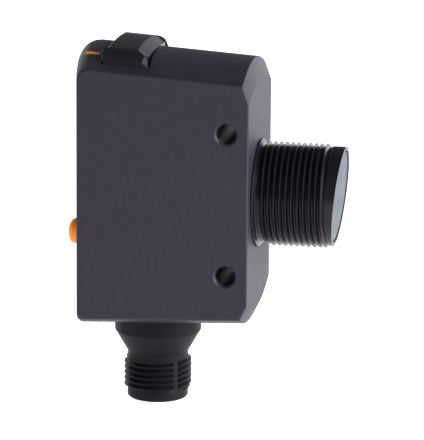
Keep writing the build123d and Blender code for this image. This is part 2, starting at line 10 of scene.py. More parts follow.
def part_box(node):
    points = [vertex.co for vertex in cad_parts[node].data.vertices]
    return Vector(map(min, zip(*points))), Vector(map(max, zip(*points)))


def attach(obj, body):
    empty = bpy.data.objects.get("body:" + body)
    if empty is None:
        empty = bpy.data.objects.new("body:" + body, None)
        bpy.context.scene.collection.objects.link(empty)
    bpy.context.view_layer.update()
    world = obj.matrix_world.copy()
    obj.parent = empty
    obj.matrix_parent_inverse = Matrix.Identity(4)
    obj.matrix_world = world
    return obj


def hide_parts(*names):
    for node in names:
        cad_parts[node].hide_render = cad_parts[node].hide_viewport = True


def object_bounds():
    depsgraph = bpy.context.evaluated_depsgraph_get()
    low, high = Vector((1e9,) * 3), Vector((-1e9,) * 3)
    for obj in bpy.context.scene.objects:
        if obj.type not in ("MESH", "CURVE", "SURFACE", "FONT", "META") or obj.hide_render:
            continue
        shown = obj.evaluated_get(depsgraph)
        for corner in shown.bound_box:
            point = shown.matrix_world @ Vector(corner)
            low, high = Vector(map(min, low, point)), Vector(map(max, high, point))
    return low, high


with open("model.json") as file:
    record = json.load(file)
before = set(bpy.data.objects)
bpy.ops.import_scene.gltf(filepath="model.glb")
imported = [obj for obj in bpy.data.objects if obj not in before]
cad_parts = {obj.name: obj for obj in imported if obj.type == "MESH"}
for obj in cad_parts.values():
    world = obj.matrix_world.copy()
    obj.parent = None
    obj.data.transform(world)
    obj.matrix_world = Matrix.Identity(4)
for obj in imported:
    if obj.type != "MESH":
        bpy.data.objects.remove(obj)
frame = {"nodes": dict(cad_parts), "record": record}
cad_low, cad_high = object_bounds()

bl_info = {
    "name": "Photoelectric sensor looks",
    "version": (1, 0, 0),
    "blender": (4, 5, 0),
    "location": "3D View > Sidebar > Sensor",
    "description": "Builds the visible skin of a photoelectric sensor round its packed solids",
    "category": "Object",
}

MM = 0.001
BODY = "body"
BUTTON = "button"


# ---------------------------------------------------------------- sizes from the frame
shell_low, shell_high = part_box("housing")
nozzle_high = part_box("threaded_nozzle")[1]
connector_low, connector_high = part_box("connector_shell")
button_low, button_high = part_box("teach_button")
plate_low, plate_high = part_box("rear_plate")
mark_low, mark_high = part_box("index_mark")
cover_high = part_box("rear_cover")[1]
pins_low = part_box("contact_pins")[0]
carrier_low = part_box("contact_carrier")[0]

FRONT_X = shell_high.x
HALF_WIDTH = shell_high.y
CONNECTOR_X = (connector_low.x + connector_high.x) / 2
BUTTON_Z = (button_low.z + button_high.z) / 2

# ---------------------------------------------------------------- sizes of the skins
NOZZLE_CREST = 8.9 * MM
NOZZLE_LENGTH = 14 * MM
NOZZLE_SLANT = math.radians(5.3)
CONNECTOR_CREST = 5.85 * MM
SOCKET_RADIUS = 4.25 * MM
FLANGE_TOP = 21.6 * MM
STRIP_DRAFT = 0.5 * MM
STRIP_SINK = 0.3 * MM
ARCH_STEPS = 24
# Edges sharper than these angles stay crisp.
THREAD_CREASE = 28.0
BODY_CREASE = 40.0


def length_prop(name, description, millimetres):
    """A length property whose default is given in millimetres."""
    return FloatProperty(
        name=name, description=description, default=millimetres * MM,
        min=0.0, unit="LENGTH", subtype="DISTANCE", precision=5,
    )


def angle_prop(name, description, degrees):
    """An angle property whose default is given in degrees."""
    return FloatProperty(
        name=name, description=description, default=math.radians(degrees), unit="ROTATION", subtype="ANGLE",
    )


def hex_colour(code):
    """An sRGB hex colour as linear red, green, blue and alpha."""
    channels = [int(code[i:i + 2], 16) / 255 for i in (1, 3, 5)]
    linear = [c / 12.92 if c <= 0.04045 else ((c + 0.055) / 1.055) ** 2.4 for c in channels]
    return (*linear, 1.0)


def colour_prop(name, description, code):
    """A colour property whose default is given as sRGB hex."""
    return FloatVectorProperty(
        name=name, description=description, default=hex_colour(code), size=4,
        min=0.0, max=1.0, subtype="COLOR",
    )


# ---------------------------------------------------------------- properties
class SensorShellSizes(bpy.types.PropertyGroup):
    """Shape of the moulded housing and its rear cover."""

    crown: length_prop("Crown", "Bulge of the top and bottom at mid-width", 2.6)
    rear_crown: length_prop("Rear crown", "Bulge of the rear at mid-width", 1.3)
    top_chamfer_depth: length_prop("Top chamfer depth", "Front top chamfer, back from the face", 1.1)
    top_chamfer_height: length_prop("Top chamfer height", "Front top chamfer, along the face", 3.2)
    bottom_chamfer_depth: length_prop("Bottom chamfer depth", "Front lower chamfer, back from the face", 1.25)
    bottom_chamfer_height: length_prop("Bottom chamfer height", "Front lower chamfer, along the face", 2.55)
    face_top: length_prop("Face top", "Height of the front face above the nozzle's axis", 17.4)
    face_bottom: length_prop("Face bottom", "Depth of the front face below the nozzle's axis", 17.2)
    top_taper: length_prop("Top taper", "Rise of the top edge towards the rear", 1.8)
    bottom_taper: length_prop("Bottom taper", "Fall of the bottom edge towards the rear", 1.3)
    rear_top_round: length_prop("Rear top round", "Radius where the top meets the rear", 2.0)
    rear_bottom_round: length_prop("Rear bottom round", "Radius where the bottom meets the rear", 1.0)
    edge_round: length_prop("Edge round", "Radius of the side edges", 0.3)
    ridge_round: length_prop("Ridge round", "Radius of the ridges round the front", 0.35)
    side_land: length_prop("Side land", "Wall beside the rear cover", 1.0)
    end_land: length_prop("End land", "Wall above and below the rear cover", 2.0)
    cover_thickness: length_prop("Cover thickness", "Depth of the rear cover's rebate", 2.2)
    bore_radius: length_prop("Bore radius", "Radius of the mounting bores", 1.7)
    bore_rim: length_prop("Bore rim", "Chamfer at the mounting bores", 0.35)
    bore_spacing: length_prop("Bore spacing", "Distance between the mounting bores", 24.5)
    seam: length_prop("Seam", "Gap shown between fitted pieces", 0.08)


class SensorStripSizes(bpy.types.PropertyGroup):
    """Shape of the smoked indicator strip."""

    length: length_prop("Length", "Along the top of the housing", 8.4)
    front: length_prop("Distance from the front", "Front face to the strip", 17.3)
    half_width: length_prop("Half width", "From mid-width to each end", 9.6)
    proud: length_prop("Height above the crown", "Top of the strip above the housing", 1.2)
    shoulder: length_prop("Shoulder radius", "Radius between the top and the panels", 2.4)
    facet: length_prop("Facet width", "Bevel along both long edges", 1.45)
    gap: length_prop("Gap", "Open gap along both long edges", 0.3)
    pinch: FloatProperty(
        name="Pinch", description="How much the facets narrow at the shoulders",
        default=0.75, min=0.0, max=1.0,
    )
    lean: angle_prop("Lean", "Lean of the strip's ends towards the rear", 18.0)


class SensorThreadSizes(bpy.types.PropertyGroup):
    """Threads of the nozzle and the connector."""

    pitch: length_prop("Pitch", "Distance between two crests", 1.0)
    depth: length_prop("Depth", "Crest to root", 0.6)
    land: length_prop("Crest land", "Flat on each crest", 0.14)
    segments: IntProperty(name="Segments", description="Steps round a thread", default=144, min=24, max=360)
    nozzle_start: length_prop("Nozzle thread start", "From the front face", 0.9)
    nozzle_end: length_prop("Nozzle thread end", "From the front face", 12.5)
    connector_flat: length_prop("Keying flat", "Width of the flat along the connector's thread", 1.3)
    flat_angle: angle_prop("Keying flat angle", "Turn of the flat about the connector's axis", -42.0)


class SensorColours(bpy.types.PropertyGroup):
    """Colours of the finishes."""

    housing: colour_prop("Housing", "Textured plastic of the housing", "#211c2b")
    # The connector uses this colour darkened as painted shade.
    satin: colour_prop("Threaded parts", "Smooth plastic of the nozzle and connector", "#141017")
    smoked: colour_prop("Indicator strip", "Smoked clear plastic", "#17161b")
    # The facets' colour is the strip's acrylic made lighter: a painted highlight.
    facet: colour_prop("Strip facets", "Bevels of the indicator strip", "#1f1d29")
    window: colour_prop("Front window", "Coated pane in the nozzle", "#202c3a")
    orange: colour_prop("Button and mark", "Orange plastic", "#fd8c12")


class SensorStage(bpy.types.PropertyGroup):
    """Floor, lights and camera."""

    lens: FloatProperty(name="Lens", description="Focal length for a 36 mm frame", default=262.6, min=20.0)
    light_scale: FloatProperty(
        name="Light scale", description="Scales every light's power", default=1.0, min=0.0,
    )
    floor: colour_prop("Floor", "Pale floor", "#f4f5f8")


def sizes():
    """The scene's property groups."""
    return bpy.context.scene.sensor


class SensorProperties(bpy.types.PropertyGroup):
    """Everything a user may change."""

    shell: PointerProperty(type=SensorShellSizes, name="Housing", description="Housing sizes")
    strip: PointerProperty(type=SensorStripSizes, name="Strip", description="Indicator strip sizes")
    thread: PointerProperty(type=SensorThreadSizes, name="Threads", description="Thread sizes")
    colours: PointerProperty(type=SensorColours, name="Colours", description="Colours of the finishes")
    stage: PointerProperty(type=SensorStage, name="Stage", description="Floor, lights and camera")


# ---------------------------------------------------------------- outlines
def corner_arc(before, corner, after, radius, share, steps):
    """Points of the arc that rounds a corner. It takes at most a share of either side."""
    corner = Vector(corner)
    before, after = Vector(before) - corner, Vector(after) - corner
    half_turn = before.angle(after) / 2
    reach = min(radius / math.tan(half_turn), before.length * share, after.length * share)
    bisector = (before.normalized() + after.normalized()).normalized()
    centre = corner + bisector * (reach * math.tan(half_turn) / math.sin(half_turn))
    first = corner + before.normalized() * reach - centre
    last = corner + after.normalized() * reach - centre
    sweep = first.angle_signed(last)
    return [centre + Matrix.Rotation(-sweep * step / steps, 2) @ first for step in range(steps + 1)]


def rounded_outline(points, radii, steps=5):
    """A closed outline with each corner replaced by an arc of its own radius."""
    outline = []
    for index, corner in enumerate(points):
        if radii[index] > 0:
            after = points[(index + 1) % len(points)]
            outline += corner_arc(points[index - 1], corner, after, radii[index], 0.45, steps)
        else:
            outline.append(Vector(corner))
    return outline


def crossing(line_a, line_b):
    """Where two lines, each a point and a direction, cross."""
    (p, d), (q, e) = line_a, line_b
    across = d.x * e.y - d.y * e.x
    t = ((q.x - p.x) * e.y - (q.y - p.y) * e.x) / across
    return p + d * t


def offset_line(start, end, outward):
    """The line from start to end, moved outward. The outline runs clockwise seen from -Y."""
    direction = (end - start).normalized()
    normal = Vector((-direction.y, direction.x))
    return start + normal * outward, direction


def arch_height(y, rise):
    """Height of a circular crown at y, zero at the sides and rise at mid-width."""
    radius = (HALF_WIDTH**2 + rise**2) / (2 * rise)
    return math.sqrt(max(radius**2 - y**2, 0)) - (radius - rise)


def shell_corners():
    """The housing's six side-edge corners, clockwise from the rear top, as (x, z)."""
    s = sizes().shell
    rear = shell_low.x + s.rear_crown
    top_front = Vector((FRONT_X - s.top_chamfer_depth, s.face_top + s.top_chamfer_height))
    bottom_front = Vector((FRONT_X - s.bottom_chamfer_depth, -s.face_bottom - s.bottom_chamfer_height))
    return [
        Vector((rear, top_front.y + s.top_taper)),
        top_front,
        Vector((FRONT_X, s.face_top)),
        Vector((FRONT_X, -s.face_bottom)),
        bottom_front,
        Vector((rear, bottom_front.y - s.bottom_taper)),
    ]


def crowned_outline(y, inset):
    """The housing's outline at y, moved inward by inset."""
    s = sizes().shell
    corners = shell_corners()
    top_share = s.top_chamfer_depth / math.hypot(s.top_chamfer_depth, s.top_chamfer_height)
    low_share = s.bottom_chamfer_depth / math.hypot(s.bottom_chamfer_depth, s.bottom_chamfer_height)
    rises = [s.crown, s.crown * top_share, 0, s.crown * low_share, s.crown, s.rear_crown]
    lines = []
    for index, rise in enumerate(rises):
        height = arch_height(y, rise) if rise else 0.0
        lines.append(offset_line(corners[index], corners[(index + 1) % 6], height - inset))
    points = [crossing(lines[index - 1], lines[index]) for index in range(6)]
    ridge = s.ridge_round
    return rounded_outline(points, [s.rear_top_round, ridge, ridge, ridge, ridge, s.rear_bottom_round])


def cover_outline(y, inset, rear_extra):
    """The rear cover's outline at y: top, inner face, bottom and crowned rear."""
    s = sizes().shell
    corners = shell_corners()
    rear = offset_line(corners[5], corners[0], arch_height(y, s.rear_crown) + rear_extra)
    top = offset_line(corners[0], corners[1], arch_height(y, s.crown) - s.end_land - inset)
    bottom = offset_line(corners[4], corners[5], arch_height(y, s.crown) - s.end_land - inset)
    inner_x = corners[0].x + s.cover_thickness
    inner = (Vector((inner_x, 0)), Vector((0, -1)))
    points = [crossing(rear, top), crossing(top, inner), crossing(inner, bottom), crossing(bottom, rear)]
    return rounded_outline(points, [s.ridge_round / 3] * 4, steps=2)


# ---------------------------------------------------------------- meshes
def new_object(name, mesh):
    """A new object in the scene for a finished mesh."""
    piece = bpy.data.objects.new(name, mesh)
    bpy.context.scene.collection.objects.link(piece)
    return piece


def mesh_from(name, verts, faces):
    """A mesh whose doubles are merged and whose faces point outwards."""
    mesh = bpy.data.meshes.new(name)
    mesh.from_pydata([tuple(v) for v in verts], [], faces)
    tidy_mesh(mesh)
    return mesh


def tidy_mesh(mesh, distance=1e-7):
    """Merges doubles, drops flat slivers and turns faces outwards."""
    grid = bmesh.new()
    grid.from_mesh(mesh)
    bmesh.ops.remove_doubles(grid, verts=grid.verts, dist=distance)
    bmesh.ops.dissolve_degenerate(grid, edges=grid.edges, dist=distance)
    bmesh.ops.recalc_face_normals(grid, faces=grid.faces)
    grid.to_mesh(mesh)
    grid.free()


def smooth(mesh, degrees=35.0):
    """Smooth shading with edges sharper than an angle kept crisp."""
    mesh.shade_smooth()
    mesh.set_sharp_from_angle(angle=math.radians(degrees))


def bake_modifiers(piece):
    """Replaces the piece's mesh by its evaluated one and removes the modifiers."""
    graph = bpy.context.evaluated_depsgraph_get()
    graph.update()
    solved = piece.evaluated_get(graph)
    mesh = bpy.data.meshes.new_from_object(solved, preserve_all_data_layers=True, depsgraph=graph)
    piece.modifiers.clear()
    piece.data = mesh
    return piece


def weigh_normals(piece):
    """Lets large faces set the normals, so that small rounds shade cleanly."""
    bake_modifiers(piece)
    piece.modifiers.new("Weigh", "WEIGHTED_NORMAL").keep_sharp = True
    return bake_modifiers(piece)


def lofted(name, outlines):
    """A closed solid through outlines of equal length."""
    count = len(outlines[0])
    verts = [v for outline in outlines for v in outline]
    faces = [list(range(count)), list(range(len(verts) - count, len(verts)))]
    for row in range(len(outlines) - 1):
        for index in range(count):
            a, b = row * count + index, row * count + (index + 1) % count
            faces.append([a, b, b + count, a + count])
    return mesh_from(name, verts, faces)


def turned(name, profile, axis, origin=(0, 0, 0), steps=128, closed=True):
    """A body of revolution from (along, radius) points, about X or -Z through origin."""
    verts, faces = [], []
    count = len(profile)
    for step in range(steps):
        angle = 2 * math.pi * step / steps
        for along, radius in profile:
            if axis == "X":
                point = (along, radius * math.cos(angle), radius * math.sin(angle))
            else:
                point = (radius * math.cos(angle), radius * math.sin(angle), -along)
            verts.append(Vector(point) + Vector(origin))
    last = count if closed else count - 1
    for step in range(steps):
        row, after = step * count, (step + 1) % steps * count
        for index in range(last):
            following = (index + 1) % count
            faces.append([row + index, row + following, after + following, after + index])
    return mesh_from(name, verts, faces)


def cut(piece, cutter_mesh):
    """Takes a solid out of a piece."""
    cutter = new_object("cutter", cutter_mesh)
    difference = piece.modifiers.new("Cut", "BOOLEAN")
    difference.operation = "DIFFERENCE"
    difference.solver = "EXACT"
    difference.object = cutter
    bake_modifiers(piece)
    bpy.data.objects.remove(cutter)
    return piece


def finish_piece(piece, body, node_names, material):
    """Gives a piece its finish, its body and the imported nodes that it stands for."""
    piece.data.materials.clear()
    piece.data.materials.append(material)
    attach(piece, body)
    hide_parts(*node_names)
    return piece


# ---------------------------------------------------------------- materials
def add(tree, kind, settings, inputs):
    """Adds a node with its settings, and its inputs as values or as sockets to link."""
    node = tree.nodes.new(kind)
    for key, value in settings.items():
        setattr(node, key, value)
    for key, value in inputs.items():
        if isinstance(value, bpy.types.NodeSocket):
            tree.links.new(value, node.inputs[key])
        else:
            node.inputs[key].default_value = value
    return node


def shade(colour, factor):
    """A colour made lighter or darker."""
    return (*[min(1.0, channel * factor) for channel in colour[:3]], 1.0)


def finish(name, colour, spread, mottle_mm, grain_mm, depth_mm, rough, rough_spread, **uniform):
    """A material whose colour drifts over mottle_mm, and whose gloss and relief follow its grain.

    Values that are the same all over go straight to the shader's own sockets.
    """
    material = bpy.data.materials.new(name)
    material.use_nodes = True
    tree = material.node_tree
    tree.nodes.clear()
    where = add(tree, "ShaderNodeTexCoord", {}, {}).outputs["Object"]
    noise = {"Vector": where, "Detail": 3.0, "Roughness": 0.6}
    fine = add(tree, "ShaderNodeTexNoise", {}, {**noise, "Scale": 1 / (grain_mm * MM)}).outputs["Fac"]
    broad = add(tree, "ShaderNodeTexNoise", {}, {**noise, "Scale": 1 / (mottle_mm * MM)}).outputs["Fac"]
    tint = add(tree, "ShaderNodeValToRGB", {}, {"Fac": broad})
    for element, place, factor in zip(tint.color_ramp.elements, (0.33, 0.67), (1 - spread, 1 + spread)):
        element.position = place
        element.color = shade(colour, factor)
    limits = {"From Min": 0.3, "From Max": 0.7}
    limits.update({"To Min": rough - rough_spread, "To Max": rough + rough_spread})
    gloss = add(tree, "ShaderNodeMapRange", {}, {"Value": fine, **limits}).outputs["Result"]
    relief = add(tree, "ShaderNodeBump", {}, {"Height": fine, "Distance": depth_mm * MM}).outputs["Normal"]
    inputs = {"Base Color": tint.outputs["Color"], "Roughness": gloss, "Normal": relief}
    inputs.update({key.replace("_", " "): value for key, value in uniform.items()})
    shader = add(tree, "ShaderNodeBsdfPrincipled", {}, inputs)
    add(tree, "ShaderNodeOutputMaterial", {}, {"Surface": shader.outputs["BSDF"]})
    return material


def textured_pbt():
    """Polyester housing from a spark-eroded mould: dull, with a sandy grain.

    The real grain is about 0.08 mm. It is drawn at 0.24 mm so that it shows.
    """
    colour = sizes().colours.housing
    return finish(
        "spark_eroded_pbt", colour, 0.12, 0.4, 0.24, 0.02, 0.55, 0.06, IOR=1.5, Specular_IOR_Level=0.3,
    )


def satin_pbt():
    """The same polyester from a smooth mould: a soft sheen along the thread's crests."""
    colour = sizes().colours.satin
    return finish("satin_pbt", colour, 0.1, 0.8, 0.3, 0.006, 0.32, 0.05, IOR=1.5, Specular_IOR_Level=0.22)


def matt_pbt_painted_shade():
    """The connector's polyester: black, from a duller mould, and darkened from the threaded parts' colour as
    painted shade, so that the floor hardly shows in it.
    """
    # Painted shade: the threaded parts' colour darkened, against the light from the bright floor.
    colour = shade(sizes().colours.satin, 0.8)
    return finish("matt_pbt_painted_shade", colour, 0.1, 0.7, 0.3, 0.008, 0.5, 0.05, IOR=1.5, Specular_IOR_Level=0.1)


def smoked_acrylic():
    """Smoked acrylic: a deep even tint under a polished skin."""
    colour = sizes().colours.smoked
    return finish(
        "smoked_acrylic", colour, 0.08, 2.0, 1.2, 0.003, 0.22, 0.04, IOR=1.49, Specular_IOR_Level=0.35,
    )


def frosted_acrylic_painted_highlight():
    """The strip's facets: the same acrylic left matt by the mould, its colour made lighter than the strip's
    as a painted highlight where they catch the light.
    """
    # Lighter than the smoked colour: a painted highlight on the same acrylic.
    colour = sizes().colours.facet
    return finish(
        "frosted_acrylic_painted_highlight", colour, 0.1, 0.5, 0.25, 0.006, 0.5, 0.06, IOR=1.49, Specular_IOR_Level=0.12,
    )


def coated_pane():
    """Glass pane with a filter coat: pale blue, polished, faintly uneven."""
    colour = sizes().colours.window
    return finish(
        "coated_pane", colour, 0.06, 6.0, 3.0, 0.004, 0.35, 0.04, IOR=1.52, Specular_IOR_Level=0.08,
    )


def orange_acetal():
    """Acetal button: strong orange with a waxy sheen and fine grain."""
    return finish("orange_acetal", sizes().colours.orange, 0.07, 0.8, 0.25, 0.008, 0.36, 0.05, IOR=1.48)


def pad_print():
    """Pad-printed orange ink: matt, with slightly uneven cover."""
    return finish("pad_printed_orange", sizes().colours.orange, 0.14, 0.3, 0.15, 0.004, 0.6, 0.05, IOR=1.5)


def label_film():
    """Blank polyester label film: pale blue-grey and satin."""
    return finish("label_film", hex_colour("#8f96a8"), 0.04, 2.0, 0.5, 0.003, 0.42, 0.05, IOR=1.57)


def black_insulator():
    """Glass-filled nylon: black and slightly streaked."""
    return finish("black_nylon", hex_colour("#1b1a1c"), 0.15, 0.8, 0.3, 0.01, 0.5, 0.06, IOR=1.53)


def gold_plate():
    """Gold flash over nickel on turned contacts: warm and bright."""
    return finish(
        "gold_plated_contact", hex_colour("#d9ad55"), 0.08, 0.6, 0.15, 0.002, 0.24, 0.05, Metallic=1.0,
    )


def nickel_brass():
    """Nickel-plated brass ring: pale and satin."""
    return finish(
        "nickel_plated_brass", hex_colour("#b9a97c"), 0.08, 0.8, 0.2, 0.003, 0.3, 0.06, Metallic=1.0,
    )


def tinned_steel():
    """Tinned steel sheet: grey, with a soft rolled gloss."""
    return finish("tinned_steel", hex_colour("#a9aaac"), 0.06, 1.0, 0.25, 0.003, 0.34, 0.06, Metallic=1.0)


def moulded_rubber():
    """Moulded rubber: black and dull."""
    return finish("moulded_rubber", hex_colour("#141414"), 0.12, 0.7, 0.3, 0.01, 0.72, 0.06, IOR=1.52)


def cured_sealant():
    """Cured silicone sealant: dark grey with a skin."""
    return finish("cured_sealant", hex_colour("#262629"), 0.1, 1.5, 0.8, 0.02, 0.5, 0.06, IOR=1.41)


def clear_polycarbonate():
    """Clear polycarbonate: polished, with faint flow marks."""
    colour = hex_colour("#dfe6ee")
    clear = {"Transmission_Weight": 0.7}
    return finish("clear_polycarbonate", colour, 0.03, 3.0, 1.4, 0.002, 0.08, 0.02, IOR=1.58, **clear)


def lamp_epoxy():
    """Lamp epoxy: milky yellow over the phosphor."""
    return finish("lamp_epoxy", hex_colour("#e6dc9a"), 0.06, 0.4, 0.3, 0.003, 0.25, 0.05, IOR=1.54)


def chip_epoxy():
    """Chip packages: charcoal moulded epoxy, matt from its filler."""
    return finish("chip_epoxy", hex_colour("#1d1d20"), 0.12, 0.4, 0.15, 0.008, 0.62, 0.06, IOR=1.55)


def solder_resist():
    """Green solder resist over glass cloth, whose weave shows as a faint relief."""
    return finish("green_solder_resist", hex_colour("#1d5a34"), 0.14, 0.9, 0.5, 0.008, 0.3, 0.06, IOR=1.55)


def grey_switch():
    """Grey nylon plunger: satin."""
    return finish("grey_nylon", hex_colour("#8b8b8b"), 0.06, 0.6, 0.25, 0.005, 0.48, 0.05, IOR=1.53)


SLOT_FINISHES = {
    "housing_plastic": textured_pbt,
    "nozzle_plastic": satin_pbt,
    "connector_plastic": matt_pbt_painted_shade,
    "smoked_window": smoked_acrylic,
    "front_glass": coated_pane,
    "orange_plastic": orange_acetal,
    "sealant": cured_sealant,
    "plate": label_film,
    "clear_plastic": clear_polycarbonate,
    "black_rubber": moulded_rubber,
    "black_plastic": black_insulator,
    "chip_black": chip_epoxy,
    "board": solder_resist,
    "lamp": lamp_epoxy,
    "tinned_steel": tinned_steel,
    "switch_grey": grey_switch,
    "brass": nickel_brass,
    "gold_contacts": gold_plate,
}


# ---------------------------------------------------------------- pieces
def build_housing():
    """Crowned shell with its bores, rear rebate, strip notch, nozzle and connector seats."""
    s = sizes().shell
    stations = []
    for step in range(5):
        angle = math.pi / 2 * step / 4
        drop = s.edge_round * (1 - math.sin(angle))
        stations.append((HALF_WIDTH - s.edge_round * (1 - math.cos(angle)), drop))
    inner = HALF_WIDTH - s.edge_round
    middle = [(inner * (1 - 2 * step / 40), 0.0) for step in range(1, 40)]
    stations = stations + middle + [(-y, drop) for y, drop in reversed(stations)]
    outlines = []
    for y, drop in stations:
        outlines.append([Vector((p.x, y, p.y)) for p in crowned_outline(y, drop)])
    shell = new_object("housing_shell", lofted("housing_shell", outlines))
    seam = s.seam
    cutters = [cover_solid("rebate", 0.0, 2 * MM)]
    for z in (s.bore_spacing / 2, -s.bore_spacing / 2):
        cutters.append(bore_cutter(z))
    cutters.append(strip_notch(seam))
    cutters += [nozzle_seat(seam), connector_seat(seam), mark_recess(seam / 2)]
    for mesh in cutters:
        cut(shell, mesh)
    tidy_mesh(shell.data, 2e-6)
    smooth(shell.data, BODY_CREASE)
    weigh_normals(shell)
    return finish_piece(shell, BODY, ["housing"], textured_pbt())


def cover_solid(name, inset, rear_extra):
    """The rear cover's solid, or with rear_extra the rebate that it sits in."""
    s = sizes().shell
    half = HALF_WIDTH - s.side_land - inset
    outlines = []
    for step in range(25):
        y = half * (1 - step / 12)
        outlines.append([Vector((p.x, y, p.y)) for p in cover_outline(y, inset, rear_extra)])
    return lofted(name, outlines)


def bore_cutter(z):
    """Through bore with a small chamfer at each side, about Y."""
    s = sizes().shell
    over = 1 * MM
    rim = s.bore_radius + s.bore_rim
    profile = [(-HALF_WIDTH - over, 0), (-HALF_WIDTH - over, rim + over)]
    profile += [(-HALF_WIDTH, rim), (-HALF_WIDTH + s.bore_rim, s.bore_radius)]
    profile += [(-along, radius) for along, radius in reversed(profile)]
    mesh = turned("bore", profile, "X", steps=72, closed=False)
    mesh.transform(Matrix.Translation((0, 0, z)) @ Matrix.Rotation(math.pi / 2, 4, "Z"))
    return mesh


def strip_frame():
    """The frame on the sloping top edge that the strip sits in, x along the edge."""
    s, strip = sizes().shell, sizes().strip
    corners = shell_corners()
    x = FRONT_X - strip.front - strip.length / 2
    along = (corners[1] - corners[0]).normalized()
    z = corners[0].y + along.y / along.x * (x - corners[0].x)
    return Matrix.Translation((x, 0, z)) @ Matrix.Rotation(-math.atan2(along.y, along.x), 4, "Y")


def strip_floor():
    """Height of the strip's foot in its frame."""
    return arch_height(sizes().strip.half_width, sizes().shell.crown)


def strip_notch(gap):
    """Leaning slot across the housing's top for the strip."""
    strip = sizes().strip
    floor = strip_floor() - gap
    top = 8 * MM
    lean = math.tan(strip.lean)
    half = strip.length / 2
    outline = []
    for x, z in ((-half, floor), (half, floor), (half, top), (-half, top)):
        outline.append(Vector((x - (z - floor) * lean, z)))
    sides = [[Vector((p.x, y, p.y)) for p in outline] for y in (strip.half_width, -strip.half_width)]
    mesh = lofted("notch", sides)
    mesh.transform(strip_frame())
    return mesh


def nozzle_seat(gap):
    """Shallow round seat for the nozzle."""
    radius = nozzle_high.y + gap
    depth = 1.5 * MM
    inner, outer = FRONT_X - depth, FRONT_X + depth
    profile = [(inner, 0), (inner, radius), (outer, radius), (outer, 0)]
    return turned("nozzle_seat", profile, "X", closed=False)


def connector_seat(gap):
    """Round recess for the connector's flange."""
    radius = connector_high.x - CONNECTOR_X + gap
    below = FLANGE_TOP + 6 * MM
    profile = [(FLANGE_TOP, 0), (FLANGE_TOP, radius), (below, radius), (below, 0)]
    return turned("connector_seat", profile, "-Z", (CONNECTOR_X, 0, 0), closed=False)


def mark_recess(gap):
    """Small recess round the inlaid mark."""
    low, high = mark_low - Vector((gap, gap, 0)), mark_high + Vector((gap, gap, 2 * MM))
    return box_mesh("mark_recess", low, high)


def box_mesh(name, low, high):
    """A box between two corners."""
    outlines = []
    for y in (low.y, high.y):
        ring = [(low.x, low.z), (high.x, low.z), (high.x, high.z), (low.x, high.z)]
        outlines.append([Vector((x, y, z)) for x, z in ring])
    return lofted(name, outlines)


def build_cover():
    """Crowned rear cover with the button's guide hole."""
    s = sizes().shell
    piece = new_object("rear_cover_skin", cover_solid("rear_cover_skin", s.seam, 0.0))
    radius = 2.26 * MM
    behind, mouth, inside = shell_low.x - MM, shell_low.x + 0.15 * MM, cover_high.x + MM
    profile = [(behind, 0), (behind, radius + 1.2 * MM), (mouth, radius), (inside, radius), (inside, 0)]
    cut(piece, turned("guide", profile, "X", (0, 0, BUTTON_Z), steps=72, closed=False))
    smooth(piece.data, BODY_CREASE)
    weigh_normals(piece)
    return finish_piece(piece, BODY, ["rear_cover"], textured_pbt())


def strip_arch():
    """The strip's section across the housing, as (y, z) points from one foot to the other."""
    strip = sizes().strip
    floor = strip_floor()
    top = sizes().shell.crown + strip.proud
    half = strip.half_width - sizes().shell.seam
    upper = half - STRIP_DRAFT
    rise = strip.proud / 2
    shoulder_z = top - rise
    ring = [(-half, floor), (-upper, shoulder_z)]
    radius = (upper**2 + (top - shoulder_z) ** 2) / (2 * (top - shoulder_z))
    clear = upper - 1.1 * strip.shoulder
    for step in range(ARCH_STEPS + 1):
        y = clear * (2 * step / ARCH_STEPS - 1)
        ring.append((y, top - radius + math.sqrt(radius**2 - y**2)))
    ring += [(upper, shoulder_z), (half, floor)]
    radii = [0] * len(ring)
    radii[1] = radii[-2] = strip.shoulder
    return rounded_open(ring, radii, 10)


def strip_row(point, ahead, from_foot):
    """The strip's points along the housing at one place of its arch, from foot to foot."""
    strip = sizes().strip
    floor = strip_floor()
    base = floor - STRIP_SINK
    inward = Vector((ahead.y, -ahead.x)).normalized()
    grow = min(1.0, from_foot / (1.8 * MM)) ** 0.6
    slope = math.atan2(abs(ahead.y), abs(ahead.x))
    pinch = 1 - strip.pinch * math.sin(2 * slope) ** 2
    width = strip.facet * (0.12 + 0.88 * grow) * pinch
    sunk = point + inward * width * 0.85
    end = strip.length / 2 - strip.gap
    lean = math.tan(strip.lean)
    row = []
    for x, (y, z) in ((-end, sunk), (-end + width, point), (end - width, point), (end, sunk)):
        row.append(Vector((x - (z - floor) * lean, y, max(z, base))))
    return [Vector((row[0].x, row[0].y, base))] + row + [Vector((row[3].x, row[3].y, base))]


def build_strip():
    """Smoked strip: an arched bar with facets along both long edges."""
    arch = strip_arch()
    last = len(arch) - 1
    rows = []
    travelled = 0.0
    total = sum((arch[i + 1] - arch[i]).length for i in range(last))
    for index, point in enumerate(arch):
        if index:
            travelled += (point - arch[index - 1]).length
        ahead = arch[min(index + 1, last)] - arch[max(index - 1, 0)]
        rows.append(strip_row(point, ahead, min(travelled, total - travelled)))
    verts = [v for row in rows for v in row]
    count = len(rows[0])
    faces, kinds = [], []
    for index in range(last):
        for k in range(count):
            a, b = index * count + k, index * count + (k + 1) % count
            faces.append([a, b, b + count, a + count])
            kinds.append(1 if k in (1, 3) else 0)
    faces += [list(range(count)), list(range(len(verts) - count, len(verts)))]
    kinds += [0, 0]
    mesh = bpy.data.meshes.new("indicator_strip")
    mesh.from_pydata([tuple(v) for v in verts], [], faces)
    mesh.polygons.foreach_set("material_index", kinds)
    tidy_mesh(mesh)
    mesh.transform(strip_frame())
    piece = new_object("indicator_strip", mesh)
    smooth(mesh, 24.0)
    kinds = [polygon.material_index for polygon in mesh.polygons]
    finish_piece(piece, BODY, ["led_window"], smoked_acrylic())
    # The facets' finish carries a painted highlight in its colour.
    mesh.materials.append(frosted_acrylic_painted_highlight())
    mesh.polygons.foreach_set("material_index", kinds)
    return piece


